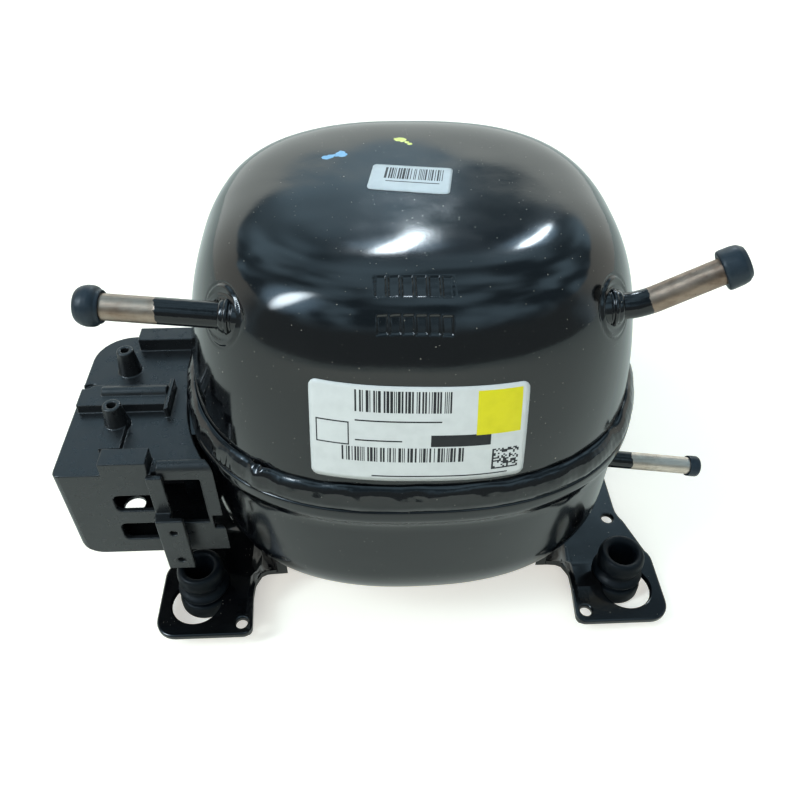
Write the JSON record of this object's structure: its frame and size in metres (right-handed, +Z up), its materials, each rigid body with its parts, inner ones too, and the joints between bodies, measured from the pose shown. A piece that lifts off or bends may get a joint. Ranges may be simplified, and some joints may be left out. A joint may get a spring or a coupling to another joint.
{
  "type": "hermetic reciprocating compressor",
  "caption": "Welded black shell on rubber-footed brackets, with capped tube stubs, a side electrical box, and a sprung motor and piston pump inside.",
  "frame": {"origin": "centre of the four grommets on the plane they stand on", "axes": "+Z up along the base bolts; X along the long side of the shell, the electrical box at -X and the discharge tube at +X; the front of the shell faces -Y"},
  "size_m": [0.2299, 0.1546, 0.1558],
  "materials": {
    "shell_paint": "gloss black enamel, slight orange peel",
    "weld_paint": "gloss black enamel over a rough weld bead",
    "bracket_paint": "gloss black enamel on stamped steel",
    "plated_tube": "nickel washed copper, dull and slightly tarnished",
    "rubber": "matt blue-grey rubber",
    "label": "semi gloss label stock",
    "box_plastic": "fine textured black plastic",
    "relay_plastic": "matt black phenolic",
    "steel": "turned or ground steel",
    "spring_steel": "spring steel",
    "glass": "dark green sealing glass",
    "cast_iron": "fine cast iron with machined faces",
    "lamination": "blued electrical steel laminations",
    "aluminium": "die cast aluminium",
    "enamelled_copper": "varnished copper wire",
    "copper_pipe": "bright copper",
    "liner": "polyester slot film",
    "gasket": "compressed fibre gasket",
    "muffler_plastic": "natural PBT",
    "lead": "insulated lead wire",
    "sintered": "sintered iron"
  },
  "bodies": {
    "housing": {"upper_shell": "shell_paint", "lower_shell": "shell_paint", "seam_weld": "weld_paint", "base_bracket_left": "bracket_paint", "base_bracket_right": "bracket_paint", "grommets": "rubber", "suction_tube": "plated_tube", "process_tube": "plated_tube", "discharge_tube": "plated_tube", "suction_collar": "bracket_paint", "process_collar": "bracket_paint", "rating_label": "label", "top_label": "label", "terminal_body": "steel", "terminal_glass": "glass", "terminal_pins": "steel", "terminal_fence": "bracket_paint", "start_relay": "relay_plastic", "overload_protector": "relay_plastic", "overload_clip": "spring_steel", "spring_seats": "steel", "suspension_springs": "spring_steel", "terminal_plug": "relay_plastic"},
    "electrical_box": {"terminal_box": "box_plastic", "cord_clamp": "box_plastic"},
    "suction_plug": {"suction_cap": "rubber"},
    "process_plug": {"process_cap": "rubber"},
    "discharge_plug": {"discharge_cap": "rubber"},
    "pump_unit": {"cylinder_block": "cast_iron", "thrust_washer": "steel", "suction_reed": "spring_steel", "valve_plate": "steel", "discharge_reed": "spring_steel", "head_gasket": "gasket", "cylinder_head": "aluminium", "head_screws": "steel", "suction_muffler": "muffler_plastic", "discharge_muffler": "steel", "discharge_loop": "copper_pipe", "stator_core": "lamination", "slot_liners": "liner", "main_winding": "enamelled_copper", "start_winding": "enamelled_copper", "stator_screws": "steel", "spring_studs": "steel", "stator_leads": "lead"},
    "crank": {"crankshaft": "steel", "rotor_core": "lamination", "rotor_cage": "aluminium", "counterweight": "steel", "oil_pickup": "steel"},
    "metering_plug": {"oil_metering_plug": "steel"},
    "slider": {"slider_block": "sintered"},
    "yoke": {"crosshead_tube": "steel", "piston": "steel"}
  },
  "joints": [
    {"name": "suspension_bounce", "type": "slide", "parent": "housing", "child": "pump_unit", "axis": [0, 0, 1], "range_m": [-0.002, 0.002], "stiffness_N_per_m": 20000, "springref_m": 0.00194, "deforming": ["suspension_springs", "discharge_loop", "stator_leads"]},
    {"name": "crank_spin", "type": "hinge", "parent": "pump_unit", "child": "crank", "pos_m": [0, 0, 0.087], "axis": [0, 0, 1], "continuous": true},
    {"name": "metering_plug_spin", "type": "hinge", "parent": "crank", "child": "metering_plug", "pos_m": [0.0035, 0, 0.0436], "axis": [0, 0, 1], "continuous": true},
    {"name": "slider_spin", "type": "hinge", "parent": "crank", "child": "slider", "pos_m": [0.007, 0, 0.1198], "axis": [0, 0, 1], "continuous": true},
    {"name": "yoke_spin", "type": "hinge", "parent": "metering_plug", "child": "yoke", "pos_m": [0.007, 0, 0.1198], "axis": [0, 0, 1], "continuous": true},
    {"name": "box_pull", "type": "slide", "parent": "housing", "child": "electrical_box", "axis": [-1, 0, 0], "range_m": [0, 0.045]},
    {"name": "suction_cap_pull", "type": "slide", "parent": "housing", "child": "suction_plug", "axis": [-0.9946, 0.094, 0.0436], "range_m": [0, 0.06]},
    {"name": "process_cap_pull", "type": "slide", "parent": "housing", "child": "process_plug", "axis": [0.8829, 0, 0.4695], "range_m": [0, 0.06]},
    {"name": "discharge_cap_pull", "type": "slide", "parent": "housing", "child": "discharge_plug", "axis": [0.986, 0, -0.1668], "range_m": [0, 0.06]}
  ],
  "couplings": [
    {"joint": "metering_plug_spin", "follows": "crank_spin", "ratio": -2},
    {"joint": "yoke_spin", "follows": "crank_spin", "ratio": 1},
    {"joint": "slider_spin", "follows": "crank_spin", "ratio": -1}
  ]
}
